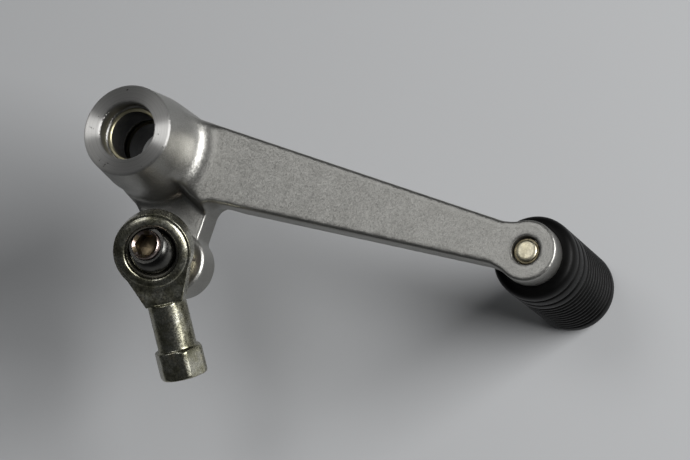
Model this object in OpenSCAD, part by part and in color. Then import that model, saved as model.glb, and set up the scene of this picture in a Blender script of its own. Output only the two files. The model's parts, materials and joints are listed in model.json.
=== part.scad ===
// Gear shift lever: pivot boss with bushes, flat tapered arm with a rubber toe peg,
// and a stub arm that carries the ball joint of the linkage rod.
// Frame: +Z along the pivot axis towards the linkage side, +X from the pivot to the toe peg,
// origin on the pivot axis at the middle of the boss. All sizes are in millimetres.

/* [Pivot boss] */
// Diameter of the boss at its turned end faces
boss_d = 22.8; // [22:0.1:24]
// Length of the boss
boss_len = 28; // [27:0.5:30]
// Largest diameter of the drafted boss, where the arm leaves it
boss_root_d = 25.4; // [24.4:0.1:26]
// Bore of the pivot bushes
bush_id = 12; // [11.5:0.1:12.4]
// Outside diameter of the pivot bushes
bush_od = 14; // [13.6:0.1:14.2]
// Length of one pivot bush
bush_len = 8; // [7:0.5:9]
// Diameter of the seal recess at each end of the boss
recess_d = 14.5; // [14.4:0.1:15]
// Depth of the seal recess
recess_depth = 4.5; // [4:0.1:4.8]

/* [Main arm] */
// Distance from the pivot to the toe peg
arm_len = 102; // [98:0.5:106]
// Distance from the linkage-side end of the boss down to the arm's flat face
arm_drop = 14.5; // [14:0.1:15]
// Half width of the arm measured at the pivot axis
arm_half_root = 10.4; // [10:0.1:10.6]
// Half width that the straight taper would have at the toe peg axis
arm_half_neck = 5.0; // [4.8:0.1:5.3]
// Thickness of the arm at the boss
arm_thick_root = 8; // [7.6:0.1:8.4]
// Thickness of the eye
eye_thick = 6; // [5.5:0.1:6.4]
// Radius of the eye round the toe peg
eye_r = 7.4; // [7.2:0.1:7.6]
// Radius of the concave blend from the neck to the eye
neck_blend_r = 10; // [8:0.5:12]
// Radius of the fillet from the arm's face up to the boss
boss_fillet_r = 4.8; // [4:0.1:5]

/* [Stub arm] */
// Distance from the pivot to the ball stud
stub_len = 28.8; // [28:0.2:30]
// Angle of the stub arm below the main arm
stub_angle = 61.3; // [60:0.1:63]
// Step from the main arm's face down to the stub arm's face
stub_step = 5.9; // [5.6:0.1:6]
// Radius of the boss that holds the ball stud
stud_boss_r = 8; // [7.8:0.1:8.2]
// Half width of the stub arm at its waist
stub_waist = 6.8; // [6.4:0.1:7.2]

/* [Ball joint] */
// Height of the ball's centre above the stud boss
ball_height = 12.2; // [12:0.1:14]
// Diameter of the ball
ball_d = 12.7; // [12.6:0.05:12.8]
// Width of the ball across its two flats
ball_width = 9; // [8.8:0.1:9.1]
// Radial running clearance in the joint
run_gap = 0.05; // [0.03:0.01:0.08]
// Droop of the rod end below the plane of the lever when it hangs free
droop = 27.5; // [20:0.5:28]
// Sideways angle from the stub arm to the rod end when it hangs free
rod_swing = 4; // [0:0.5:8]
// Roll of the rod end about its own axis when it hangs free
rod_roll = 9.5; // [0:0.5:10]
// Outside diameter of the rod end's head
head_d = 19; // [18.6:0.1:19.4]
// Thickness of the head
head_thick = 7.8; // [7.6:0.1:8]
// Distance from the ball's centre to the rod end's threaded end
rod_end_len = 32; // [31.5:0.5:34]
// Diameter of the rod end's neck
neck_d = 9.6; // [9.3:0.1:9.8]
// Hexagon across flats at the threaded end
hex_af = 11; // [10.8:0.1:11.2]
// Diameter that the corners of the hexagon are turned down to
hex_corner_d = 12; // [11.6:0.1:12.4]
// Wall diameter of the rod end's threaded hole, for an M6 thread
thread_wall_d = 5; // [4.9:0.05:5.2]
// Depth of the threaded hole
thread_depth = 18; // [16:0.5:19]

/* [Toe peg] */
// Largest diameter of the rubber sleeve
rubber_d = 20.4; // [19.8:0.1:21]
// Length of the rubber sleeve
rubber_len = 38.9; // [38:0.1:40]
// Number of thin ribs on the sleeve
rib_count = 11; // [8:1:12]
// Depth of the grooves between the ribs
groove_depth = 0.8; // [0.4:0.1:1]
// Diameter of the spindle inside the sleeve
spindle_d = 8; // [7.6:0.1:8.6]

/* [Hidden] */
$fn = 96;
over = 1;                       // how far a cutter passes a face
boss_front = boss_len / 2;
boss_rear = -boss_len / 2;
arm_top = boss_front - arm_drop;
stub_top = arm_top - stub_step;
stub_dir = [cos(-stub_angle), sin(-stub_angle)];
stud_at = stub_len * stub_dir;
stud_boss_front = stub_top + 0.4;
ball_z = stud_boss_front + ball_height;
ball_r = ball_d / 2;
eye_rear = arm_top - eye_thick;

// Ball joint, in the rod end's own frame: origin at the ball's centre, +X to the threaded end,
// +Z along the axis of the head
race_half = 2.4;                // half the width of race and liner
race_r = 8;
liner_r = ball_r + run_gap + 0.3;
lip_r = 6.4;                    // radius of the opening that shows the race
groove_r = 8.3;                 // lowest ring of the staking groove round the opening
groove_z = 3.2;
groove_wall_r = 8.6;
head_r = head_d / 2;
head_half = head_thick / 2;
edge_round = 0.8;               // radius on the outer edge of the head
plate_end = 13.2;               // where the flat sides of the head run out
hex_len = 7.2;
hex_turn = 37;                  // turn of the hexagon about the rod end's axis

// Ball stud, measured down from the ball's centre
stud_pin_d = 6.6;               // part that passes through the ball
stud_end_h = 5.7;               // socket end above the ball's centre
stud_collar_d = 10;
stud_collar_top = 7.9;
stud_thread_d = 6;
socket_af = 5;
socket_depth = 3.5;
washer_thick = 1.6;

// Toe peg
peg_recess_d = 6.9;
peg_recess_depth = 1.7;
spigot_d = 6;
rivet_d = 4.6;
flange_d = 13;
flange_thick = 1.6;
rubber_top = eye_rear;
rubber_end = rubber_top - rubber_len;
spindle_end = rubber_end + 4;

function dir(a) = [cos(a), sin(a)];
function arc(c, r, a0, a1, n) = [for (i = [0:n]) c + r * dir(a0 + (a1 - a0) * i / n)];
function flip(points) = [for (i = [len(points) - 1:-1:0]) [points[i][0], -points[i][1]]];

// Places a child of the ball joint: +X to the threaded end, +Z along the head's axis
module at_ball() {
    translate([stud_at[0], stud_at[1], ball_z])
        rotate([0, 0, -stub_angle - rod_swing])
            rotate([0, droop, 0])
                rotate([-rod_roll, 0, 0])
                    children();
}

module at_stud() {
    translate([stud_at[0], stud_at[1], 0]) children();
}

module at_peg() {
    translate([arm_len, 0, 0]) children();
}

// ---- lever body ----

taper = atan((arm_half_root - arm_half_neck) / arm_len);
eye_to_edge = arm_half_neck * cos(taper);
blend_up = eye_to_edge + neck_blend_r;
blend_back = sqrt(pow(eye_r + neck_blend_r, 2) - pow(blend_up, 2));
blend_at = [arm_len, 0] + blend_up * dir(90 - taper) - blend_back * dir(-taper);
blend_end = atan2(-blend_at[1], arm_len - blend_at[0]);

// Upper edge of the arm, from the pivot to the eye
upper_edge = concat([[0, arm_half_root]], arc(blend_at, neck_blend_r, -90 - taper, blend_end, 10));
// Corner of the arm's face over the stub arm
step_start = [8, -6];
step_corner = [18.3, -10.4];
step_lean = 1.7;                // how far the step's wall leans out at its foot
lower_root = [step_corner, [19.2, -9.9], [20.2, -9.45], [21.6, -9.25], [24, -9.13]];

module arm_outline() {
    polygon(concat(upper_edge, [[arm_len, 0]], [for (p = flip(upper_edge)) if (p[0] > 30) p],
        [for (i = [len(lower_root) - 1:-1:0]) lower_root[i]], [step_start, [0, 0]]));
    translate([arm_len, 0]) circle(eye_r);
}

// Side view of the arm: flat towards the linkage side, tapered behind
module arm_side() {
    polygon([[0, arm_top], [arm_len + eye_r + over, arm_top], [arm_len + eye_r + over, eye_rear],
        [arm_len - eye_r, eye_rear], [20, arm_top - arm_thick_root], [0, arm_top - arm_thick_root]]);
}

module main_arm() {
    intersection() {
        translate([0, 0, boss_rear]) linear_extrude(boss_len) arm_outline();
        rotate([90, 0, 0]) translate([0, 0, -eye_r * 2]) linear_extrude(eye_r * 4) arm_side();
    }
}

// Ring with a concave section that rises from a flat face to the boss
module boss_fillet(z, r) {
    root = boss_root_d / 2;
    translate([0, 0, z]) rotate_extrude()
        polygon(concat([[root - over, -over], [root + r, -over]],
            arc([root + r, r], r, 270, 180, 8), [[root - over, r]]));
}

corner_r = 4;                   // inside corner between the two arms
corner_at = [21.9, -7.9 - corner_r];

module stub_outline() {
    translate(stud_at) circle(stud_boss_r);
    circle(boss_root_d / 2);
    polygon(concat([[0, 0]],
        [for (p = [[1.5, -12.6], [5.5, -11.8], [9, -9.8], [12, -8], [15.5, -7], [20, -stub_waist],
            [stub_len, -stub_waist]]) p[0] * stub_dir - p[1] * [stub_dir[1], -stub_dir[0]]],
        [[corner_at[0] - corner_r, -18.5]],
        arc(corner_at, corner_r, 180, 90, 8),
        arc([corner_at[0] + 1, 6], 13, 262, 200, 8)));
}

// Leaning wall between the arm's face and the lower face of the stub arm
module step_wall() {
    run = step_corner - step_start;
    translate([step_start[0], step_start[1], 0])
        rotate([0, 0, atan2(run[1], run[0])])
            rotate([90, 0, 90])
                linear_extrude(norm(run))
                    polygon([[over, arm_top], [0, arm_top], [-step_lean, stub_top - over],
                        [over, stub_top - over]]);
}

module stub_arm() {
    translate([0, 0, boss_rear]) linear_extrude(stub_top - boss_rear) stub_outline();
    step_wall();
    at_stud() rotate_extrude()
        polygon([[0, boss_rear], [stud_boss_r, boss_rear], [stud_boss_r, stud_boss_front - 0.6],
            [stud_boss_r - 0.6, stud_boss_front], [0, stud_boss_front]]);
}

module boss_outside() {
    r = boss_d / 2;
    root = boss_root_d / 2;
    edge = 0.35;
    rotate_extrude()
        polygon([[0, boss_rear], [r - edge, boss_rear], [r, boss_rear + edge], [root, stub_top - 2],
            [root, arm_top + 2], [r, boss_front - edge], [r - edge, boss_front], [0, boss_front]]);
}

module boss_bore() {
    edge = 0.3;
    rotate_extrude()
        polygon([[0, boss_rear - over], [recess_d / 2 + edge + over, boss_rear - over],
            [recess_d / 2, boss_rear + edge], [recess_d / 2, boss_rear + recess_depth],
            [bush_od / 2, boss_rear + recess_depth], [bush_od / 2, boss_front - recess_depth],
            [recess_d / 2, boss_front - recess_depth], [recess_d / 2, boss_front - edge],
            [recess_d / 2 + edge + over, boss_front + over], [0, boss_front + over]]);
}

module lever_body() {
    color([0.62, 0.61, 0.58]) difference() {
        union() {
            boss_outside();
            main_arm();
            stub_arm();
            intersection() {
                boss_fillet(arm_top, boss_fillet_r);
                translate([0, 0, arm_top - over]) linear_extrude(boss_fillet_r + over * 2) arm_outline();
            }
            intersection() {
                boss_fillet(stub_top, 2);
                translate([0, 0, stub_top - over]) linear_extrude(2 + over * 2) stub_outline();
            }
        }
        boss_bore();
        at_stud() translate([0, 0, boss_rear - over])
            cylinder(d = stud_thread_d, h = stud_boss_front - boss_rear + 2 * over);
        at_peg() translate([0, 0, eye_rear - over]) cylinder(d = spigot_d, h = eye_thick + 2 * over);
        at_peg() translate([0, 0, arm_top - peg_recess_depth]) cylinder(d = peg_recess_d, h = over * 2);
    }
}

// ---- pivot bushes ----

module bush(z) {
    color([0.72, 0.62, 0.38]) translate([0, 0, z]) difference() {
        cylinder(d = bush_od, h = bush_len);
        translate([0, 0, -over]) cylinder(d = bush_id, h = bush_len + 2 * over);
    }
}

module pivot_bush_front() {
    bush(boss_front - recess_depth - bush_len);
}

module pivot_bush_rear() {
    bush(boss_rear + recess_depth);
}

// ---- toe peg ----

module toe_peg_spindle() {
    floor_z = arm_top - peg_recess_depth;
    spindle_r = spindle_d / 2;
    color([0.78, 0.74, 0.58]) at_peg() rotate_extrude()
        polygon([[0, arm_top - 0.3], [rivet_d / 2 - 0.3, arm_top - 0.3], [rivet_d / 2, arm_top - 0.6],
            [rivet_d / 2, floor_z], [spigot_d / 2, floor_z], [spigot_d / 2, eye_rear],
            [flange_d / 2, eye_rear], [flange_d / 2, eye_rear - flange_thick],
            [spindle_r, eye_rear - flange_thick], [spindle_r, spindle_end + 3],
            [spindle_r + 1.2, spindle_end + 1.8], [spindle_r + 1.2, spindle_end + 0.8],
            [spindle_r, spindle_end], [0, spindle_end]]);
}

module peg_rivet_washer() {
    color([0.8, 0.76, 0.6]) at_peg() translate([0, 0, arm_top - peg_recess_depth]) difference() {
        cylinder(d = 6.3, h = 0.7);
        translate([0, 0, -over]) cylinder(d = rivet_d, h = 0.7 + 2 * over);
    }
}

// Outline of the sleeve, from the arm to the far end, as radius and distance
collar_len = 4;
band_a = 3.6;
band_b = 3;
groove_w = 0.7;
rib_pitch = 2.1;
rib_start = collar_len + band_a + band_b + 3 * groove_w;
rubber_r = rubber_d / 2;

function groove(at) = [[rubber_r, at], [rubber_r - groove_depth, at + groove_w * 0.25],
    [rubber_r - groove_depth, at + groove_w * 0.75], [rubber_r, at + groove_w]];
groove_starts = concat([collar_len, collar_len + groove_w + band_a,
    collar_len + 2 * groove_w + band_a + band_b],
    [for (i = [1:rib_count - 1]) rib_start + i * rib_pitch - groove_w]);

module toe_peg_rubber() {
    front_round = 2.4;
    end_round = 3;
    spindle_r = spindle_d / 2;
    outline = concat([[flange_d / 2, 0], [rubber_r - front_round, 0]],
        [for (p = arc([rubber_r - front_round, -front_round], front_round, 75, 0, 5)) [p[0], -p[1]]],
        [for (g = groove_starts) each groove(g)],
        [for (p = arc([rubber_r - end_round, end_round - rubber_len], end_round, 0, -90, 8)) [p[0], -p[1]]],
        [[0, rubber_len]]);
    inside = [[0, rubber_top - spindle_end], [spindle_r, rubber_top - spindle_end],
        [spindle_r + 1.2, rubber_top - spindle_end - 0.8], [spindle_r + 1.2, rubber_top - spindle_end - 1.8],
        [spindle_r, rubber_top - spindle_end - 3], [spindle_r, flange_thick], [flange_d / 2, flange_thick]];
    color([0.06, 0.06, 0.06]) at_peg() rotate_extrude()
        polygon([for (p = concat(outline, inside)) [p[0], rubber_top - p[1]]]);
}

// ---- ball joint ----

module ball_stud() {
    pin_r = stud_pin_d / 2;
    end_r = 3.6;
    step = ball_width / 2 + run_gap;
    collar_r = stud_collar_d / 2;
    collar_base = ball_z - stud_boss_front - washer_thick;
    thread_end = ball_z - boss_rear;
    thread_r = stud_thread_d / 2;
    color([0.5, 0.44, 0.42]) at_stud() translate([0, 0, ball_z]) difference() {
        rotate_extrude()
            polygon([[0, stud_end_h], [end_r - 0.3, stud_end_h], [end_r, stud_end_h - 0.3],
                [end_r + 0.2, step], [pin_r, step], [pin_r, -stud_collar_top],
                [collar_r - 0.6, -stud_collar_top], [collar_r, -stud_collar_top - 0.6],
                [collar_r, -collar_base + 0.4], [collar_r - 0.4, -collar_base], [thread_r, -collar_base],
                [thread_r, -thread_end + 0.6], [thread_r - 0.6, -thread_end], [0, -thread_end]]);
        translate([0, 0, stud_end_h - socket_depth])
            cylinder(d = socket_af / cos(30), h = socket_depth + over, $fn = 6);
        translate([0, 0, stud_end_h - 0.5]) cylinder(d1 = socket_af + 0.4, d2 = socket_af + 1.6, h = 0.6);
    }
}

module stud_spring_washer() {
    color([0.55, 0.55, 0.53]) at_stud() translate([0, 0, stud_boss_front]) difference() {
        cylinder(d = 11, h = washer_thick);
        translate([0, 0, -over]) cylinder(d = 6.2, h = washer_thick + 2 * over);
        translate([4.3, 0, washer_thick / 2]) rotate([25, 0, 0])
            cube([6, 0.7, washer_thick * 3], center = true);
    }
}

module stud_ball() {
    color([0.2, 0.2, 0.2]) at_stud() translate([0, 0, ball_z]) difference() {
        intersection() {
            sphere(r = ball_r);
            cube([ball_d * 2, ball_d * 2, ball_width], center = true);
        }
        cylinder(d = stud_pin_d + 2 * run_gap, h = ball_d * 2, center = true);
    }
}

module rod_end_liner() {
    color([0.32, 0.3, 0.26]) at_ball() difference() {
        intersection() {
            sphere(r = liner_r);
            cube([race_r * 3, race_r * 3, race_half * 2], center = true);
        }
        sphere(r = ball_r + run_gap);
    }
}

module rod_end_race() {
    color([0.62, 0.6, 0.54]) at_ball() difference() {
        cylinder(r = race_r, h = race_half * 2, center = true);
        sphere(r = liner_r);
    }
}

// Head seen from the edge: a ring with a rounded rim, an inside groove for the race,
// and on each side a lip with a sloping back, staked over the race
module head_ring() {
    half = concat([[race_r + run_gap, 0], [race_r + run_gap, race_half + run_gap],
        [lip_r, race_half + run_gap], [lip_r, head_half - 0.5], [lip_r + 0.4, head_half - 0.05],
        [lip_r + 0.7, head_half], [groove_r, groove_z], [groove_wall_r, head_half]],
        arc([head_r - edge_round, head_half - edge_round], edge_round, 90, 0, 6));
    rotate_extrude() polygon(concat(half, flip([for (i = [1:len(half) - 1]) half[i]])));
}

// Flat sides that run from the head into the neck
module head_plate() {
    flare = asin((head_r - neck_d / 2) / (plate_end + 1));
    difference() {
        linear_extrude(head_thick, center = true)
            polygon([(head_r - 0.4) * dir(90 - flare), [plate_end, neck_d / 2 - 0.2],
                [plate_end, -neck_d / 2 + 0.2], (head_r - 0.4) * dir(flare - 90)]);
        cylinder(r = groove_wall_r + 0.1, h = head_thick * 2, center = true);
    }
}

module neck() {
    intersection() {
        rotate([0, 90, 0]) cylinder(d = neck_d, h = rod_end_len - hex_len + 0.5);
        union() {
            translate([20, 0, 0]) cube([40, 40, head_thick], center = true);
            difference() {
                translate([20, 0, 0]) cube([40, 40, 40], center = true);
                cylinder(r = plate_end, h = 50, center = true);
            }
        }
    }
}

module hex_end() {
    turned_r = hex_corner_d / 2;
    translate([rod_end_len - hex_len, 0, 0]) rotate([0, 90, 0]) intersection() {
        rotate([0, 0, hex_turn]) cylinder(d = hex_af / cos(30), h = hex_len, $fn = 6);
        rotate_extrude()
            polygon([[0, 0], [turned_r - 0.5, 0], [turned_r, 0.5], [turned_r, hex_len - 0.4],
                [turned_r - 0.4, hex_len], [0, hex_len]]);
    }
}

module rod_end_housing() {
    color([0.5, 0.48, 0.36]) at_ball() difference() {
        union() {
            head_ring();
            difference() {
                union() {
                    head_plate();
                    neck();
                }
                cylinder(r = groove_wall_r + 0.1, h = head_thick * 2, center = true);
            }
            hex_end();
        }
        translate([rod_end_len - thread_depth, 0, 0]) rotate([0, 90, 0])
            cylinder(d = thread_wall_d, h = thread_depth + over);
        translate([rod_end_len - 0.6, 0, 0]) rotate([0, 90, 0])
            cylinder(d1 = thread_wall_d, d2 = thread_wall_d + 3.2, h = 1.6);
    }
}

lever_body();
pivot_bush_front();
pivot_bush_rear();
toe_peg_spindle();
peg_rivet_washer();
toe_peg_rubber();
ball_stud();
stud_spring_washer();
stud_ball();
rod_end_liner();
rod_end_race();
rod_end_housing();
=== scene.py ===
"""Gear shift lever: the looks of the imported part, a plain studio and the camera.

The frame is in metres. Sizes written here are in mm and are scaled by MM.
"""
import json
import math

import bmesh
import bpy
import numpy as np
from mathutils import Matrix, Vector
from mathutils.bvhtree import BVHTree


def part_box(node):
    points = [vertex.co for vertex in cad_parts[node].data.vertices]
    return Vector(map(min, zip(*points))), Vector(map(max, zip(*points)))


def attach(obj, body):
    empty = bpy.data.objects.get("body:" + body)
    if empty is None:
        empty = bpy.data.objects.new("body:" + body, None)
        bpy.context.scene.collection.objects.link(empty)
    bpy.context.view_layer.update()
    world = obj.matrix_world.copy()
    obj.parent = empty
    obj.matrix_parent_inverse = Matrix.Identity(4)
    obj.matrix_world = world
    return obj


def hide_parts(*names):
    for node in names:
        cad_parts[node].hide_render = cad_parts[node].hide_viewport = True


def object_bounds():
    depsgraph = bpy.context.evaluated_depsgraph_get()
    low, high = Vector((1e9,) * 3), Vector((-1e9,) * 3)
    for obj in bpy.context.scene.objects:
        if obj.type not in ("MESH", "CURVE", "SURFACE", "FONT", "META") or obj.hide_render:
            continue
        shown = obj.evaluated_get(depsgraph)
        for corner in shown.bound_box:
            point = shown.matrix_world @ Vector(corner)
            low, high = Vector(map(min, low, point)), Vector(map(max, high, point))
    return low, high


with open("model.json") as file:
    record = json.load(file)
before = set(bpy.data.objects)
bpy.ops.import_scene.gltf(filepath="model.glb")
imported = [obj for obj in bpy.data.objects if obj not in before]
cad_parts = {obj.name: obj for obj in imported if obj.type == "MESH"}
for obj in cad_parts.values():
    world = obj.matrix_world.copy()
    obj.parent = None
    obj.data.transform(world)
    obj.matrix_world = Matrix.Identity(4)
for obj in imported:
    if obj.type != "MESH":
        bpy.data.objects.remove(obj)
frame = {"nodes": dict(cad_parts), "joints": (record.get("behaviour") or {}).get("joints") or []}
cad_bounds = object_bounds()
nodes = frame["nodes"]
joints = {j["name"]: j for j in frame["joints"]}

MM = 0.001

# ---------------------------------------------------------------- places from the frame


def box_mm(node):
    """Lowest and highest corner of a CAD node's box, in mm."""
    low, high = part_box(node)
    return low / MM, high / MM


spindle_low, spindle_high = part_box("toe_peg_spindle")
pivot_axis = Vector((0, 0, 0))
peg_axis = (spindle_low + spindle_high) / 2
ball_centre = Vector(joints["ball_turn"]["pos_m"])
head_axis = Vector(joints["rod_end_swing"]["axis"])
tilt_axis = Vector(joints["rod_end_tilt"]["axis"])
rod_axis = tilt_axis.cross(head_axis).normalized()
boss_rear = box_mm("lever_body")[0].z
boss_front = box_mm("lever_body")[1].z
floor_z = cad_bounds[0].z


def axes_at(x, z, origin):
    """Placement with the given +X and +Z."""
    turn = Matrix((x, z.cross(x), z)).transposed().to_4x4()
    return Matrix.Translation(origin) @ turn


at_pivot = Matrix.Identity(4)
at_peg = Matrix.Translation((peg_axis.x, peg_axis.y, 0))
at_stud = Matrix.Translation(ball_centre)
at_head = axes_at(rod_axis, head_axis, ball_centre)

# ---------------------------------------------------------------- mesh helpers


def new_object(name, mesh):
    piece = bpy.data.objects.new(name, mesh)
    bpy.context.scene.collection.objects.link(piece)
    return piece


def fix_normals(mesh):
    edit = bmesh.new()
    edit.from_mesh(mesh)
    bmesh.ops.recalc_face_normals(edit, faces=edit.faces)
    edit.to_mesh(mesh)
    edit.free()


def placed_object(name, verts, faces, place):
    """Object from points in mm, moved to a placement."""
    mesh = bpy.data.meshes.new(name)
    mesh.from_pydata([Vector(v) * MM for v in verts], [], faces)
    mesh.transform(place)
    fix_normals(mesh)
    return new_object(name, mesh)


def shade(piece, angle=32):
    """Smooth shading, with edges above an angle kept sharp."""
    piece.data.shade_smooth()
    piece.data.set_sharp_from_angle(angle=math.radians(angle))


def soften(points, radius, steps=3):
    """Rounds every inner corner of an open outline of (radius, height) points."""
    out = [points[0]]
    for before, at, after in zip(points, points[1:], points[2:]):
        a, b, c = (Vector(p) for p in (before, at, after))
        cut = min(radius, (a - b).length * 0.45, (c - b).length * 0.45)
        start = b + (a - b).normalized() * cut
        end = b + (c - b).normalized() * cut
        for i in range(steps + 1):
            t = i / steps
            out.append(tuple(start * (1 - t) ** 2 + b * 2 * t * (1 - t) + end * t * t))
    return out + [points[-1]]


def ring_faces(a, b, segments):
    """Faces between two rings of point numbers, where a ring of one point is a pole."""
    faces = []
    for i in range(segments):
        j = (i + 1) % segments
        if len(a) == 1 and len(b) > 1:
            faces.append((a[0], b[j], b[i]))
        elif len(b) == 1 and len(a) > 1:
            faces.append((a[i], a[j], b[0]))
        elif len(a) > 1:
            faces.append((a[i], a[j], b[j], b[i]))
    return faces


def lathe(name, outline, place, segments=128, closed=False):
    """Turns an outline of (radius, height) points about +Z of a placement."""
    verts, rings = [], []
    for radius, height in outline:
        count = segments if radius > 1e-6 else 1
        rings.append(list(range(len(verts), len(verts) + count)))
        for i in range(count):
            angle = 2 * math.pi * i / count
            verts.append((radius * math.cos(angle), radius * math.sin(angle), height))
    pairs = list(zip(rings, rings[1:]))
    if closed:
        pairs.append((rings[-1], rings[0]))
    faces = [face for a, b in pairs for face in ring_faces(a, b, segments)]
    return placed_object(name, verts, faces, place)


def merged_copy(node, name):
    """A CAD node's mesh as a new object, with its split vertices joined."""
    mesh = nodes[node].data.copy()
    mesh.name = name
    edit = bmesh.new()
    edit.from_mesh(mesh)
    bmesh.ops.remove_doubles(edit, verts=edit.verts, dist=1e-6)
    edit.to_mesh(mesh)
    edit.free()
    mesh.materials.clear()
    return new_object(name, mesh)


def apply_modifiers(piece):
    graph = bpy.context.evaluated_depsgraph_get()
    mesh = bpy.data.meshes.new_from_object(piece.evaluated_get(graph))
    piece.modifiers.clear()
    piece.data = mesh


def remesh(piece, voxel):
    step = piece.modifiers.new("remesh", "REMESH")
    step.mode = "VOXEL"
    step.voxel_size = voxel * MM
    apply_modifiers(piece)


def cut_with(piece, cutter):
    step = piece.modifiers.new("cut", "BOOLEAN")
    step.operation = "DIFFERENCE"
    step.solver = "EXACT"
    step.object = cutter
    apply_modifiers(piece)
    bpy.data.objects.remove(cutter)


# ---------------------------------------------------------------- point helpers


def coordinates(mesh):
    co = np.empty(len(mesh.vertices) * 3)
    mesh.vertices.foreach_get("co", co)
    return co.reshape(-1, 3)


def set_coordinates(mesh, co):
    mesh.vertices.foreach_set("co", co.ravel())
    mesh.update()


def edge_list(mesh):
    edges = np.empty(len(mesh.edges) * 2, dtype=np.int64)
    mesh.edges.foreach_get("vertices", edges)
    return edges.reshape(-1, 2)


def relax(co, edges, weight, rounds):
    """Moves each point towards its neighbours' mean, by its own weight."""
    count = np.bincount(edges.ravel(), minlength=len(co))[:, None]
    for _ in range(rounds):
        total = np.zeros_like(co)
        for axis in range(3):
            total[:, axis] = np.bincount(edges[:, 0], co[edges[:, 1], axis], len(co))
            total[:, axis] += np.bincount(edges[:, 1], co[edges[:, 0], axis], len(co))
        co = co + (total / count - co) * weight[:, None] * 0.5
    return co


def snap(co, chosen, source):
    """Puts the chosen points on the nearest place of a source surface."""
    tree = BVHTree.FromPolygons([v.co for v in source.data.vertices],
                                [p.vertices for p in source.data.polygons])
    for i in np.flatnonzero(chosen):
        co[i] = tree.find_nearest(Vector(co[i]))[0]
    return co


def from_axis(co, centre):
    """Distance of each point from the line along Z through a centre, in mm."""
    return np.hypot(co[:, 0] - centre.x, co[:, 1] - centre.y) / MM


def rise(value, start, width):
    """0 up to start, 1 from start + width, and a straight line between."""
    return np.clip((value - start) / width, 0, 1)


def fall(value, end, width):
    """1 up to end - width, 0 from end, and a straight line between."""
    return np.clip((end - value) / width, 0, 1)


def hump(value, centre, width):
    """1 at a centre, falling smoothly to 0 on both sides."""
    return np.exp(-((value - centre) / width) ** 2)


# ---------------------------------------------------------------- material helpers


class Nodes:
    """A material's node tree, with short ways to add and join nodes."""

    def __init__(self, name):
        self.material = bpy.data.materials.new(name)
        self.material.use_nodes = True
        self.tree = self.material.node_tree
        self.shader = self.tree.nodes["Principled BSDF"]
        self.place = self.add("ShaderNodeTexCoord").outputs["Object"]

    def add(self, kind, **settings):
        made = self.tree.nodes.new(kind)
        for key, value in settings.items():
            setattr(made, key, value)
        return made

    def join(self, source, target):
        self.tree.links.new(source, target)

    def feed(self, socket, value):
        """Gives a socket a number, a colour or another node's output."""
        if isinstance(value, tuple):
            socket.default_value = (*value, 1)
        elif isinstance(value, (int, float)):
            socket.default_value = value
        elif value is not None:
            self.join(value, socket)

    def noise(self, scale, detail=3, rough=0.6, coordinate=None):
        made = self.add("ShaderNodeTexNoise")
        made.inputs["Scale"].default_value = scale
        made.inputs["Detail"].default_value = detail
        made.inputs["Roughness"].default_value = rough
        self.join(coordinate or self.place, made.inputs["Vector"])
        return made.outputs["Fac"]

    def math(self, operation, a, b=0.0):
        made = self.add("ShaderNodeMath", operation=operation)
        self.feed(made.inputs[0], a)
        self.feed(made.inputs[1], b)
        return made.outputs[0]

    def between(self, value, low, high, to_low, to_high):
        """Maps the range low to high onto another range, and stops at its ends."""
        made = self.add("ShaderNodeMapRange", clamp=True)
        self.join(value, made.inputs["Value"])
        for name, number in zip(("From Min", "From Max", "To Min", "To Max"),
                                (low, high, to_low, to_high)):
            made.inputs[name].default_value = number
        return made.outputs[0]

    def ramp(self, value, stops):
        made = self.add("ShaderNodeValToRGB")
        while len(made.color_ramp.elements) < len(stops):
            made.color_ramp.elements.new(0.5)
        for element, (at, colour) in zip(made.color_ramp.elements, stops):
            element.position = at
            element.color = (*colour, 1)
        self.join(value, made.inputs["Fac"])
        return made.outputs["Color"]

    def scaled(self, colour, factor):
        made = self.add("ShaderNodeVectorMath", operation="SCALE")
        self.join(colour, made.inputs[0])
        self.join(factor, made.inputs["Scale"])
        return made.outputs[0]

    def mix(self, factor, a, b):
        made = self.add("ShaderNodeMix", data_type="RGBA")
        self.feed(made.inputs["Factor"], factor)
        self.feed(made.inputs[6], a)
        self.feed(made.inputs[7], b)
        return made.outputs[2]

    def unit(self, vector):
        made = self.add("ShaderNodeVectorMath", operation="NORMALIZE")
        self.join(vector, made.inputs[0])
        return made.outputs[0]

    def bump(self, height, distance, strength=0.5, below=None):
        made = self.add("ShaderNodeBump")
        made.inputs["Distance"].default_value = distance * MM
        made.inputs["Strength"].default_value = strength
        self.join(height, made.inputs["Height"])
        self.feed(made.inputs["Normal"], below)
        return made.outputs["Normal"]

    def facets(self, scale, tilt):
        """A normal that leans at random from grain to grain."""
        cells = self.add("ShaderNodeTexVoronoi")
        cells.inputs["Scale"].default_value = scale
        self.join(self.place, cells.inputs["Vector"])
        lean = self.add("ShaderNodeVectorMath", operation="MULTIPLY_ADD")
        lean.inputs[1].default_value = (tilt, tilt, tilt)
        lean.inputs[2].default_value = (-tilt / 2, -tilt / 2, -tilt / 2)
        self.join(cells.outputs["Color"], lean.inputs[0])
        geometry = self.add("ShaderNodeNewGeometry")
        total = self.add("ShaderNodeVectorMath", operation="ADD")
        self.join(lean.outputs[0], total.inputs[0])
        self.join(geometry.outputs["Normal"], total.inputs[1])
        return self.unit(total.outputs[0])

    def finish(self, colour, roughness, normal=None, metallic=1.0, **constants):
        """Joins the results to the shader. Other sockets are named with _ for a space."""
        self.shader.inputs["Metallic"].default_value = metallic
        for name, value in constants.items():
            self.shader.inputs[name.replace("_", " ")].default_value = value
        self.feed(self.shader.inputs["Base Color"], colour)
        self.feed(self.shader.inputs["Roughness"], roughness)
        self.feed(self.shader.inputs["Normal"], normal)
        return self.material


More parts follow.
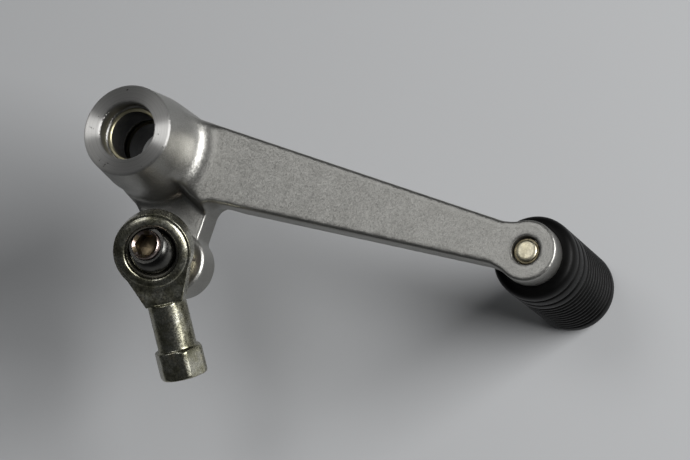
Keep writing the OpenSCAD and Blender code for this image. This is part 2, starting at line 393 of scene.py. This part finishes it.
def clouded(name, cloud, stops, grain, rough, bump, **shader):
    """Colour that clouds at one scale, with roughness and bump that vary at a finer one.

    cloud is the coarse noise's scale and roughness, grain the fine noise's scale, rough the
    range of roughness, and bump its depth in mm and strength.
    """
    n = Nodes(name)
    cloud_scale, cloud_rough = cloud
    fine = n.noise(grain)
    colour = n.ramp(n.noise(cloud_scale, 3, cloud_rough), stops)
    return n.finish(colour, n.between(fine, 0.3, 0.7, *rough), n.bump(fine, *bump), **shader)


# ---------------------------------------------------------------- materials


def forged_aluminium():
    """Tumbled forging: fine facets that glint one by one, over soft blotches."""
    n = Nodes("forged_aluminium")
    grain = n.noise(3800)
    blotch = n.noise(170, 4, 0.55)
    tone = n.math("ADD", n.math("MULTIPLY", grain, 0.7), n.math("MULTIPLY", blotch, 0.3))
    colour = n.ramp(tone, [(0.36, (0.25, 0.246, 0.23)), (0.5, (0.31, 0.306, 0.288)),
                           (0.64, (0.37, 0.364, 0.346))])
    dents = n.bump(n.noise(1700, 3, 0.55), 0.014, 0.45, below=n.facets(3800, 0.11))
    rough = n.between(grain, 0.35, 0.65, 0.34, 0.46)
    return n.finish(colour, rough, n.bump(grain, 0.012, 0.5, below=dents))


def turned_aluminium():
    """Face turned on a lathe: fine rings round the pivot axis, which stretch glints outwards."""
    n = Nodes("turned_aluminium")
    split = n.add("ShaderNodeSeparateXYZ")
    n.join(n.place, split.inputs[0])
    x_squared = n.math("POWER", split.outputs["X"], 2)
    y_squared = n.math("POWER", split.outputs["Y"], 2)
    line = n.add("ShaderNodeCombineXYZ")
    n.join(n.math("SQRT", n.math("ADD", x_squared, y_squared)), line.inputs[0])
    rings = n.noise(3600, coordinate=line.outputs[0])
    nicks = n.between(n.noise(900, 2, 0.5), 0.7, 0.76, 0, 1)
    fine = n.ramp(rings, [(0.3, (0.36, 0.355, 0.345)), (0.7, (0.5, 0.495, 0.48))])
    colour = n.mix(nicks, fine, (0.12, 0.12, 0.11))
    outwards = n.add("ShaderNodeCombineXYZ")
    n.join(split.outputs["X"], outwards.inputs[0])
    n.join(split.outputs["Y"], outwards.inputs[1])
    turn = n.add("ShaderNodeVectorTransform", vector_type="VECTOR", convert_from="OBJECT",
                 convert_to="WORLD")
    n.join(n.unit(outwards.outputs[0]), turn.inputs[0])
    n.join(turn.outputs[0], n.shader.inputs["Tangent"])
    return n.finish(colour, 0.5, n.bump(nicks, 0.03, 0.6), Anisotropic=1.0)


def passivated_steel():
    """Glossy zinc plate with a yellow-green passivation that clouds from place to place."""
    n = Nodes("passivated_steel")
    fine = n.noise(2100)
    colour = n.ramp(n.noise(260, 4, 0.55), [(0.32, (0.17, 0.165, 0.115)), (0.46, (0.32, 0.31, 0.235)),
                                            (0.58, (0.41, 0.405, 0.345)), (0.72, (0.45, 0.41, 0.3))])
    shaded = n.scaled(colour, n.between(fine, 0.42, 0.62, 0.75, 1.1))
    rough = n.between(fine, 0.3, 0.7, 0.22, 0.34)
    waves = n.bump(n.noise(420, 2, 0.5), 0.02, 0.3, below=n.facets(3000, 0.045))
    return n.finish(shaded, rough, n.bump(fine, 0.01, 0.5, below=waves))


def black_rubber():
    """Moulded rubber, semi-matte."""
    return clouded("black_rubber", (130, 0.5),
                   [(0.35, (0.0012, 0.0012, 0.0012)), (0.7, (0.0036, 0.0035, 0.0034))],
                   2200, (0.34, 0.48), (0.015, 0.35), metallic=0.0, Specular_IOR_Level=0.08)


def zinc_steel():
    """Pale gold zinc plate."""
    return clouded("zinc_steel", (420, 0.5),
                   [(0.3, (0.42, 0.38, 0.26)), (0.7, (0.62, 0.58, 0.45))],
                   1400, (0.28, 0.44), (0.03, 0.6))


def zinc_with_painted_shade():
    """Zinc plate in a recess, its colour darkened as painted shade of the recess."""
    return clouded("zinc_with_painted_shade", (520, 0.55),
                   [(0.3, (0.12, 0.1, 0.06)), (0.7, (0.3, 0.26, 0.17))],
                   1500, (0.34, 0.5), (0.02, 0.5))


def stud_steel():
    """Bare steel with a faint oxide tint."""
    return clouded("stud_steel", (420, 0.5),
                   [(0.3, (0.2, 0.15, 0.13)), (0.55, (0.34, 0.28, 0.26)), (0.7, (0.46, 0.4, 0.38))],
                   1800, (0.2, 0.32), (0.01, 0.5))


def socket_steel():
    """Brown inside of the hexagon socket, darkened as painted shade of the socket."""
    return clouded("socket_steel", (500, 0.5),
                   [(0.3, (0.06, 0.045, 0.027)), (0.7, (0.18, 0.145, 0.095))],
                   1500, (0.3, 0.45), (0.012, 0.5))


def ball_steel():
    """Polished dark steel."""
    return clouded("ball_steel", (260, 0.5),
                   [(0.3, (0.05, 0.05, 0.048)), (0.7, (0.11, 0.108, 0.1))],
                   1500, (0.16, 0.28), (0.006, 0.5))


def race_steel():
    """Smooth turned steel."""
    return clouded("race_steel", (300, 0.5),
                   [(0.3, (0.3, 0.29, 0.25)), (0.7, (0.46, 0.45, 0.4))],
                   1500, (0.2, 0.32), (0.01, 0.5))


def bush_bronze():
    """Dull greenish bronze back of a bush."""
    return clouded("bush_bronze", (300, 0.5),
                   [(0.3, (0.22, 0.2, 0.13)), (0.7, (0.33, 0.31, 0.22))],
                   1600, (0.34, 0.48), (0.01, 0.5))


def bush_lining_with_painted_shade():
    """Dark sliding layer inside a bronze-backed bush, painted darker still as painted shade inside the
    bore.
    """
    return clouded("bush_lining_with_painted_shade", (420, 0.55),
                   [(0.3, (0.012, 0.012, 0.011)), (0.7, (0.03, 0.028, 0.024))],
                   1700, (0.45, 0.6), (0.01, 0.5), metallic=0.0, Specular_IOR_Level=0.12)


def liner_plastic():
    """Matte plastic."""
    n = Nodes("liner_plastic")
    fine = n.noise(1800)
    colour = n.ramp(fine, [(0.3, (0.05, 0.047, 0.04)), (0.7, (0.09, 0.085, 0.07))])
    return n.finish(colour, 0.5, n.bump(fine, 0.01, 0.5), metallic=0.0)


MATERIALS = {make.__name__: make() for make in (
    forged_aluminium, turned_aluminium, bush_bronze, bush_lining_with_painted_shade, zinc_steel, zinc_with_painted_shade, black_rubber,
    stud_steel, socket_steel, ball_steel, liner_plastic, race_steel, passivated_steel)}


def set_materials(piece, names):
    piece.data.materials.clear()
    for name in names:
        piece.data.materials.append(MATERIALS[name])


def place_piece(piece, body, node, slot):
    """Gives a finished piece its material and its body, and hides the CAD node that it stands for."""
    if not piece.data.materials:
        piece.data.materials.append(MATERIALS[slot])
    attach(piece, body)
    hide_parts(node)


# ---------------------------------------------------------------- lever body

LEVER_VOXEL = 0.24
EDGE_ROUNDS = 28        # smoothing that rounds the forged edges
FILLET_ROUNDS = 90      # further smoothing of the fillet between the boss and the arm
CORNER_ROUNDS = 120     # further smoothing of the rear corner between the arm and the stub arm
BOSS_R = 12.2           # just outside the boss
FACE_R = 11.6           # outer limit of the turned end faces
FACE_DEPTH = 0.45
BORE_REACH = 7.9        # machined surfaces round the pivot axis
END_REACH = 1.0         # machined depth at each end of the boss
PEG_REACH = 3.35        # machined recess in the eye
EYE_REACH = 9.0         # the eye's edges, which are crisper than the arm's
EYE_WEIGHT = 0.45
STUD_RIM = (5.5, 8.3)   # edge of the stud boss's front face, also crisp
STUD_RIM_REAR = -7.2
STUD_RIM_WEIGHT = 0.15
FILLET_REACH = 19.0
ARM_ABOVE_WASHER = 1.0
CORNER_AT = Vector((21.5, -7.4, 0)) * MM
CORNER_REACH = 6.0
CORNER_BELOW_ARM = 2.5

arm_front = box_mm("peg_rivet_washer")[1].z + ARM_ABOVE_WASHER


def edge_weight(co):
    """How far each point of the lever may move: none on machined surfaces, less on crisp edges."""
    radius = from_axis(co, pivot_axis)
    peg = from_axis(co, peg_axis)
    stud = from_axis(co, ball_centre)
    height = co[:, 2] / MM
    from_end = np.minimum(boss_front - height, height - boss_rear)
    weight = np.where(radius < BOSS_R, rise(from_end, END_REACH, 1.5), 1.0)
    weight = np.minimum(weight, rise(radius, BORE_REACH, 0.8))
    weight = np.minimum(weight, rise(peg, PEG_REACH, 0.5))
    weight[(stud > STUD_RIM[0]) & (stud < STUD_RIM[1]) & (height > STUD_RIM_REAR)] = STUD_RIM_WEIGHT
    weight[peg < EYE_REACH] *= EYE_WEIGHT
    return weight


def fillet_weight(co, radius):
    """Picks the fillet that runs round the boss on the front of the arm."""
    above = rise(co[:, 2] / MM, arm_front - 1.0, 1.0)
    return rise(radius, BOSS_R, 0.8) * fall(radius, FILLET_REACH, 2.0) * above * (co[:, 0] > 0)


def corner_weight(co):
    """Picks the corner between the two arms, on the rear."""
    below = fall(co[:, 2] / MM, arm_front - CORNER_BELOW_ARM, 3.0)
    return fall(from_axis(co, CORNER_AT), CORNER_REACH, 3.0) * below


def paint_machined(piece):
    """Gives the boss's end faces, bore and recesses the turned material."""
    set_materials(piece, ("forged_aluminium", "turned_aluminium"))
    for face in piece.data.polygons:
        radius = math.hypot(face.center.x, face.center.y) / MM
        height = face.center.z / MM
        at_end = min(boss_front - height, height - boss_rear) < FACE_DEPTH
        if radius < FACE_R and (at_end or radius < BORE_REACH):
            face.material_index = 1


def make_lever():
    source = merged_copy("lever_body", "lever_source")
    piece = merged_copy("lever_body", "forged_lever")
    remesh(piece, LEVER_VOXEL)
    edges = edge_list(piece.data)
    co = coordinates(piece.data)
    co = snap(co, np.ones(len(co)), source)
    weight = edge_weight(co)
    first_radius = from_axis(co, pivot_axis)
    co = relax(co, edges, weight, EDGE_ROUNDS)
    co = relax(co, edges, fillet_weight(co, first_radius), FILLET_ROUNDS)
    co = relax(co, edges, corner_weight(co), CORNER_ROUNDS)
    co = snap(co, weight <= 0.0, source)
    set_coordinates(piece.data, co)
    bpy.data.objects.remove(source)
    paint_machined(piece)
    shade(piece, 35)
    place_piece(piece, "lever", "lever_body", "forged_aluminium")


# ---------------------------------------------------------------- pivot bushes

BUSH_WALL = 1.0
BUSH_EDGE = 0.25


def make_bushes():
    for node in ("pivot_bush_front", "pivot_bush_rear"):
        low, high = box_mm(node)
        outer = high.x
        inner = outer - BUSH_WALL
        edge = BUSH_EDGE
        outline = [(inner, low.z + edge), (inner + edge, low.z), (outer - edge, low.z),
                   (outer, low.z + edge), (outer, high.z - edge), (outer - edge, high.z),
                   (inner + edge, high.z), (inner, high.z - edge)]
        piece = lathe(node + "_turned", outline, at_pivot, closed=True)
        shade(piece, 40)
        set_materials(piece, ("bush_bronze", "bush_lining_with_painted_shade"))
        # painted shade: the inside faces of each bush take the near-black lining for the shade inside
        # the bore
        for face in piece.data.polygons:
            if math.hypot(face.center.x, face.center.y) < (inner + 0.05) * MM:
                face.material_index = 1
        place_piece(piece, "lever", node, "bush_bronze")


# ---------------------------------------------------------------- toe peg

RIVET_R = 2.3
RIVET_HEAD_R = 2.6      # the riveted end spreads over its washer
RIVET_WASHER_IN = 2.32
RIVET_WASHER_OUT = 3.15
SPIGOT_R = 3.0          # in the eye
FLANGE_R = 6.5          # behind the eye, inside the rubber
FLANGE_THICK = 1.6
CORE_R = 4.0
BARB_R = 5.2            # holds the rubber


def make_spindle():
    top = spindle_high.z / MM
    end = spindle_low.z / MM
    flange_top = box_mm("toe_peg_rubber")[1].z
    flange_end = flange_top - FLANGE_THICK
    recess_floor = box_mm("peg_rivet_washer")[0].z
    under_head = box_mm("peg_rivet_washer")[1].z + 0.02
    head = [(0, top), (RIVET_HEAD_R - 0.8, top - 0.02), (RIVET_HEAD_R - 0.35, top - 0.08),
            (RIVET_HEAD_R - 0.08, top - 0.22), (RIVET_HEAD_R, (top + under_head) / 2),
            (RIVET_HEAD_R - 0.1, under_head), (RIVET_R, under_head)]
    shank = [(RIVET_R, recess_floor), (SPIGOT_R, recess_floor), (SPIGOT_R, flange_top)]
    flange = [(FLANGE_R - 0.1, flange_top), (FLANGE_R, flange_top - 0.1), (FLANGE_R, flange_end + 0.1),
              (FLANGE_R - 0.1, flange_end)]
    core = [(CORE_R, flange_end), (CORE_R, end + 3), (BARB_R, end + 1.8), (BARB_R, end + 0.8),
            (CORE_R, end), (0, end)]
    piece = lathe("toe_peg_spindle_turned", soften(head + shank + flange + core, 0.08, 2), at_peg)
    shade(piece, 35)
    place_piece(piece, "lever", "toe_peg_spindle", "zinc_steel")


def make_rivet_washer():
    low, high = box_mm("peg_rivet_washer")
    inner = RIVET_WASHER_IN
    outer = RIVET_WASHER_OUT
    ring = [(inner, low.z), (outer, low.z), (outer, high.z - 0.22), (outer - 0.15, high.z - 0.05),
            (outer - 0.4, high.z), (inner + 0.13, high.z - 0.03), (inner, high.z - 0.15)]
    piece = lathe("peg_rivet_washer_ring", ring, at_peg, closed=True)
    shade(piece, 35)
    # painted shade: the washer takes a zinc darkened for the shade of the recess it sits in
    set_materials(piece, ("zinc_with_painted_shade",))
    place_piece(piece, "lever", "peg_rivet_washer", "zinc_steel")


COLLAR = 4.0            # smooth collar before the first groove
BAND_A = 3.6            # the two wide bands after it
BAND_B = 3.0
RIBS = 11
RIB_PITCH = 2.1
GROOVE = 0.7
GROOVE_DEPTH = 0.8
# How far the side falls, and how far before the groove, along a rib's rounded shoulder
SHOULDER = [(0, 0.55), (0.05, 0.28), (0.16, 0.08), (0.38, -0.06)]
RUBBER_END_R = 3.0      # rounding of the end edge
END_STEPS = 8


def groove_starts():
    """Distances from the eye's end of the sleeve to each groove."""
    first_rib = COLLAR + BAND_A + BAND_B + 3 * GROOVE
    wide = [COLLAR, COLLAR + GROOVE + BAND_A, COLLAR + BAND_A + BAND_B + 2 * GROOVE]
    return wide + [first_rib + i * RIB_PITCH - GROOVE for i in range(1, RIBS)]


def make_rubber():
    low, high = box_mm("toe_peg_rubber")
    outer = (high.x - low.x) / 2
    length = high.z - low.z
    deep = outer - GROOVE_DEPTH
    outline = [(FLANGE_R, 0), (outer - 2.4, 0), (outer - 1.1, 0.25), (outer - 0.35, 1.0),
               (outer - 0.08, 1.9)]
    for start in groove_starts():
        outline += [(outer - drop, start - back) for drop, back in SHOULDER]
        outline += [(deep, start + 0.16), (deep, start + GROOVE - 0.16)]
        outline += [(outer - drop, start + GROOVE + back) for drop, back in reversed(SHOULDER)]
    for i in range(END_STEPS + 1):
        angle = math.radians(90 * i / END_STEPS)
        outline.append((outer - RUBBER_END_R * (1 - math.cos(angle)),
                        length - RUBBER_END_R * (1 - math.sin(angle))))
    outline += [(0, length), (0, length - 4), (CORE_R, length - 4), (CORE_R, FLANGE_THICK),
                (FLANGE_R, FLANGE_THICK), (FLANGE_R, 0)]
    outline = [(radius, high.z - at) for radius, at in outline]
    piece = lathe("toe_peg_rubber_moulded", outline, at_peg, segments=192)
    shade(piece, 50)
    place_piece(piece, "lever", "toe_peg_rubber", "black_rubber")


# ---------------------------------------------------------------- ball stud

SOCKET_AF = 5.0
SOCKET_DEPTH = 3.5
SOCKET_TURN = 42        # degrees about the stud's axis
SOCKET_STEPS = 48
SOCKET_POINT = 0.9      # depth of the drill point below the socket
SOCKET_PAINT_R = 2.95
STUD_TIP_R = 3.3        # flat round the socket
STUD_LIP_R = 3.8        # widest place of the end that holds the ball
PIN_R = 3.3             # through the ball
PIN_TOP = 4.55
COLLAR_TOP = -7.9
COLLAR_R = 5.0
THREAD_R = 3.0


def socket_cutter(top):
    """Hexagon socket with a round lead-in above it and a drill point below, about the stud's axis."""
    flat = SOCKET_AF / 2
    corner = flat / math.cos(math.radians(30))
    floor = top - SOCKET_DEPTH
    verts = []
    # Height of each ring and how far it reaches beyond the hexagon, where it is round
    for height, widen in ((top + 0.3, 0.75), (top - 0.08, 0.42), (top - 0.55, 0.0), (floor, -0.02)):
        for i in range(SOCKET_STEPS):
            degrees = 360 * i / SOCKET_STEPS
            hexagon = flat / math.cos(math.radians((degrees + 30) % 60 - 30))
            radius = corner + widen if widen > 0 else hexagon + widen
            turn = math.radians(degrees + SOCKET_TURN)
            verts.append((radius * math.cos(turn), radius * math.sin(turn), height))
    rings = [list(range(start, start + SOCKET_STEPS)) for start in range(0, len(verts), SOCKET_STEPS)]
    verts.append((0, 0, floor - SOCKET_POINT))
    rings.append([len(verts) - 1])
    faces = [face for a, b in zip(rings, rings[1:]) for face in ring_faces(a, b, SOCKET_STEPS)]
    faces.append(tuple(reversed(rings[0])))
    return placed_object("socket", verts, faces, at_stud)


def make_stud():
    low, high = box_mm("ball_stud")
    top = high.z - ball_centre.z / MM
    end = low.z - ball_centre.z / MM
    base = box_mm("stud_spring_washer")[1].z - ball_centre.z / MM
    tip = [(0, top), (STUD_TIP_R, top), (STUD_TIP_R + 0.3, top - 0.3), (STUD_LIP_R, PIN_TOP),
           (PIN_R, PIN_TOP)]
    collar = [(PIN_R, COLLAR_TOP), (COLLAR_R - 0.6, COLLAR_TOP), (COLLAR_R, COLLAR_TOP - 0.6),
              (COLLAR_R, base + 0.4), (COLLAR_R - 0.4, base)]
    thread = [(THREAD_R, base), (THREAD_R, end + 0.6), (THREAD_R - 0.6, end), (0, end)]
    piece = lathe("ball_stud_turned", soften(tip + collar + thread, 0.15), at_stud)
    cut_with(piece, socket_cutter(top))
    shade(piece, 35)
    # painted shade: faces inside the socket take the darker socket steel for the shade inside it
    set_materials(piece, ("stud_steel", "socket_steel"))
    for face in piece.data.polygons:
        radius = math.hypot(face.center.x - ball_centre.x, face.center.y - ball_centre.y) / MM
        depth = high.z - face.center.z / MM
        in_socket = radius < SOCKET_PAINT_R and 0.15 < depth < SOCKET_DEPTH + 1
        face.material_index = 1 if in_socket else 0
    place_piece(piece, "lever", "ball_stud", "stud_steel")


SPRING_IN = 3.1
SPRING_OUT = 5.5
SPRING_STEPS = 96
SPRING_GAP = 9          # degrees between its two ends
SPRING_TURN = 20        # degrees from +X to the gap


def make_spring_washer():
    """Split ring of square wire, its ends a little apart."""
    low, high = box_mm("stud_spring_washer")
    base = low.z - ball_centre.z / MM
    top = high.z - ball_centre.z / MM
    verts, faces = [], []
    for i in range(SPRING_STEPS + 1):
        angle = math.radians(SPRING_TURN + SPRING_GAP / 2 + (360 - SPRING_GAP) * i / SPRING_STEPS)
        for radius, height in ((SPRING_IN, base), (SPRING_OUT, base), (SPRING_OUT, top),
                               (SPRING_IN, top)):
            verts.append((radius * math.cos(angle), radius * math.sin(angle), height))
    for i in range(SPRING_STEPS):
        for k in range(4):
            j = (k + 1) % 4
            faces.append((i * 4 + k, i * 4 + j, i * 4 + 4 + j, i * 4 + 4 + k))
    faces += [(3, 2, 1, 0), tuple(SPRING_STEPS * 4 + k for k in range(4))]
    piece = placed_object("stud_spring_washer_split", verts, faces, at_stud)
    edge = piece.modifiers.new("edge", "BEVEL")
    edge.width = 0.12 * MM
    edge.segments = 2
    edge.limit_method = "ANGLE"
    apply_modifiers(piece)
    shade(piece, 35)
    place_piece(piece, "lever", "stud_spring_washer", "zinc_steel")


# ---------------------------------------------------------------- ball, liner and race

BALL_FLAT = 4.5         # from the ball's centre to its flats
BALL_BORE_R = 3.35
BALL_EDGE = 0.12
BALL_STEPS = 24
LINER_IN = 6.4
RACE_IN = 6.7
RACE_OUT = 8.0
RACE_HALF = 2.4         # half of its height
RACE_EDGE = 0.15


def make_ball():
    low, high = box_mm("stud_ball")
    radius = (high.x - low.x) / 2
    lean = math.acos(BALL_FLAT / radius)
    flat_r = radius * math.sin(lean) - BALL_EDGE
    outline = [(BALL_BORE_R, -BALL_FLAT), (flat_r, -BALL_FLAT)]
    for i in range(BALL_STEPS + 1):
        angle = math.pi - lean - (math.pi - 2 * lean) * i / BALL_STEPS
        outline.append((radius * math.sin(angle), radius * math.cos(angle)))
    outline += [(flat_r, BALL_FLAT), (BALL_BORE_R, BALL_FLAT)]
    piece = lathe("stud_ball_ground", outline, at_stud, segments=160, closed=True)
    shade(piece, 25)
    place_piece(piece, "ball", "stud_ball", "ball_steel")


def sphere_band(radius, steps=16):
    """The part of a sphere's outline between the race's two ends, from the lower one up."""
    lean = math.asin(RACE_HALF / radius)
    angles = [lean * (2 * i / steps - 1) for i in range(steps + 1)]
    return [(radius * math.cos(angle), radius * math.sin(angle)) for angle in angles]


def make_liner():
    outline = sphere_band(LINER_IN) + list(reversed(sphere_band(RACE_IN)))
    piece = lathe("rod_end_liner_band", outline, at_head, segments=160, closed=True)
    shade(piece, 30)
    place_piece(piece, "race", "rod_end_liner", "liner_plastic")


def make_race():
    outline = sphere_band(RACE_IN)
    outline += [(RACE_OUT - RACE_EDGE, RACE_HALF), (RACE_OUT, RACE_HALF - RACE_EDGE),
                (RACE_OUT, RACE_EDGE - RACE_HALF), (RACE_OUT - RACE_EDGE, -RACE_HALF)]
    piece = lathe("rod_end_race_ring", outline, at_head, segments=160, closed=True)
    shade(piece, 30)
    place_piece(piece, "race", "rod_end_race", "race_steel")


# ---------------------------------------------------------------- rod end housing

HOUSING_VOXEL = 0.16
HOUSING_ROUNDS = 12     # smoothing that rounds all edges
HEAD_ROUNDS = 8         # further smoothing on the faces of the head
STEP_ROUNDS = 150       # further smoothing that fillets the two steps of the neck
STEP_REACH = 1.2
PLATE_END = 13.2        # from the ball's centre to the place where the flat head ends on the neck
NECK_START = 8.0
HEX_START = 24.8        # from the ball's centre to the hexagon
LIP_OUTER = 7.1         # where the flat lip round the race ends
RIM_START = 8.9
LIP_HEIGHT = 3.9        # half of the head's thickness at the lip, and at the rim
RIM_HEIGHT = 3.3
CROWN = 1.6             # power of the slope between them
FACE_HEIGHT = 2.7       # points beyond this are on a face
FACE_FADE = (10.0, 12.5)
LINE_R = 8.75           # fine turned line just inside the rim
LINE_DEPTH = 0.14
LINE_WIDTH = 0.17


def from_ball(co):
    """Offsets from the ball's centre, in mm."""
    return (co - np.array(ball_centre)) / MM


def stake_head(co):
    """Gives both faces of the head a crowned slope from the staked lip down to the rim.

    Returns the moved points and a weight that picks the faces.
    """
    normal = np.array(head_axis)
    offset = from_ball(co)
    height = offset @ normal
    radius = np.linalg.norm(offset - height[:, None] * normal, axis=1)
    slope = rise(radius, LIP_OUTER, RIM_START - LIP_OUTER) ** CROWN
    target = LIP_HEIGHT - (LIP_HEIGHT - RIM_HEIGHT) * slope
    target -= LINE_DEPTH * hump(radius, LINE_R, LINE_WIDTH)
    fade_start, fade_end = FACE_FADE
    on_face = (np.abs(height) > FACE_HEIGHT) & (radius > LIP_OUTER)
    weight = fall(radius, fade_end, fade_end - fade_start) * on_face
    wanted = np.where(radius < RIM_START - 0.1, target, np.minimum(np.abs(height), target))
    moved = (np.sign(height) * wanted - height) * weight
    return co + moved[:, None] * normal * MM, weight


def step_weight(co):
    """Picks the steps at both ends of the neck."""
    offset = from_ball(co)
    along = offset @ np.array(rod_axis)
    flat_reach = np.hypot(along, offset @ np.array(tilt_axis))
    at_head_end = hump(flat_reach, PLATE_END, STEP_REACH) * (along > NECK_START)
    return np.clip(at_head_end + hump(along, HEX_START, STEP_REACH), 0, 1)


def make_housing():
    piece = merged_copy("rod_end_housing", "rod_end_forging")
    remesh(piece, HOUSING_VOXEL)
    edges = edge_list(piece.data)
    co = coordinates(piece.data)
    co = relax(co, edges, np.ones(len(co)), HOUSING_ROUNDS)
    co, on_face = stake_head(co)
    co = relax(co, edges, on_face, HEAD_ROUNDS)
    co = relax(co, edges, step_weight(co), STEP_ROUNDS)
    set_coordinates(piece.data, co)
    shade(piece, 40)
    place_piece(piece, "rod_end", "rod_end_housing", "passivated_steel")


# ---------------------------------------------------------------- stage, light and camera

FLOOR_HALF = 3.0        # metres, as are the other lengths below
FLOOR_COLOUR = (0.5, 0.507, 0.515)
LIGHT_AIM = Vector((0.05, 0, 0))
SKY_COLOUR = (0.92, 0.96, 1.0, 1)
SKY_STRENGTH = 0.05
CAMERA_AIM = Vector((0.0569, -0.0070, -0.0005))
CAMERA_DISTANCE = 0.7367
CAMERA_AZIMUTH = math.radians(71.9)
CAMERA_ELEVATION = math.radians(65.63)
CAMERA_UP = Vector((-0.25, 0.9382, 0.2395))
CAMERA_LENS = 160.7


def make_stage():
    half = FLOOR_HALF
    mesh = bpy.data.meshes.new("floor")
    corners = [(-half, -half, floor_z), (half, -half, floor_z), (half, half, floor_z),
               (-half, half, floor_z)]
    mesh.from_pydata(corners, [], [(0, 1, 2, 3)])
    floor = new_object("floor", mesh)
    floor.data.materials.append(Nodes("floor_paper").finish(FLOOR_COLOUR, 0.6, metallic=0.0))


def area_light(name, direction, distance, size, power):
    """A soft panel that looks at the object from a direction."""
    data = bpy.data.lights.new(name, "AREA")
    data.shape = "RECTANGLE"
    data.size, data.size_y = size
    data.energy = power
    lamp = bpy.data.objects.new(name, data)
    way = Vector(direction).normalized()
    lamp.location = LIGHT_AIM + way * distance
    lamp.rotation_mode = "QUATERNION"
    lamp.rotation_quaternion = way.to_track_quat("Z", "Y")
    bpy.context.scene.collection.objects.link(lamp)


def make_lights():
    world = bpy.data.worlds.new("studio")
    world.use_nodes = True
    sky = world.node_tree.nodes["Background"]
    sky.inputs["Color"].default_value = SKY_COLOUR
    sky.inputs["Strength"].default_value = SKY_STRENGTH
    bpy.context.scene.world = world
    bpy.context.scene.view_settings.view_transform = "Standard"
    area_light("window", (0.78, 0.34, 0.52), 1.1, (0.85, 0.5), 17)
    area_light("ceiling", (-0.3, 0.25, 0.95), 1.3, (0.5, 0.5), 2.3)


def make_camera():
    data = bpy.data.cameras.new("camera")
    data.sensor_width = 36
    data.lens = CAMERA_LENS
    data.clip_start = 0.01
    data.clip_end = 20
    camera = bpy.data.objects.new("camera", data)
    flat = math.cos(CAMERA_ELEVATION)
    back = Vector((math.sin(CAMERA_AZIMUTH) * flat, -math.cos(CAMERA_AZIMUTH) * flat,
                   math.sin(CAMERA_ELEVATION)))
    right = CAMERA_UP.cross(back).normalized()
    turn = Matrix((right, back.cross(right), back)).transposed().to_4x4()
    camera.matrix_world = Matrix.Translation(CAMERA_AIM + back * CAMERA_DISTANCE) @ turn
    bpy.context.scene.collection.objects.link(camera)
    bpy.context.scene.camera = camera


make_camera()
make_lever()
make_bushes()
make_spindle()
make_rivet_washer()
make_rubber()
make_stud()
make_ball()
make_liner()
make_race()
make_housing()
make_spring_washer()
make_stage()
make_lights()
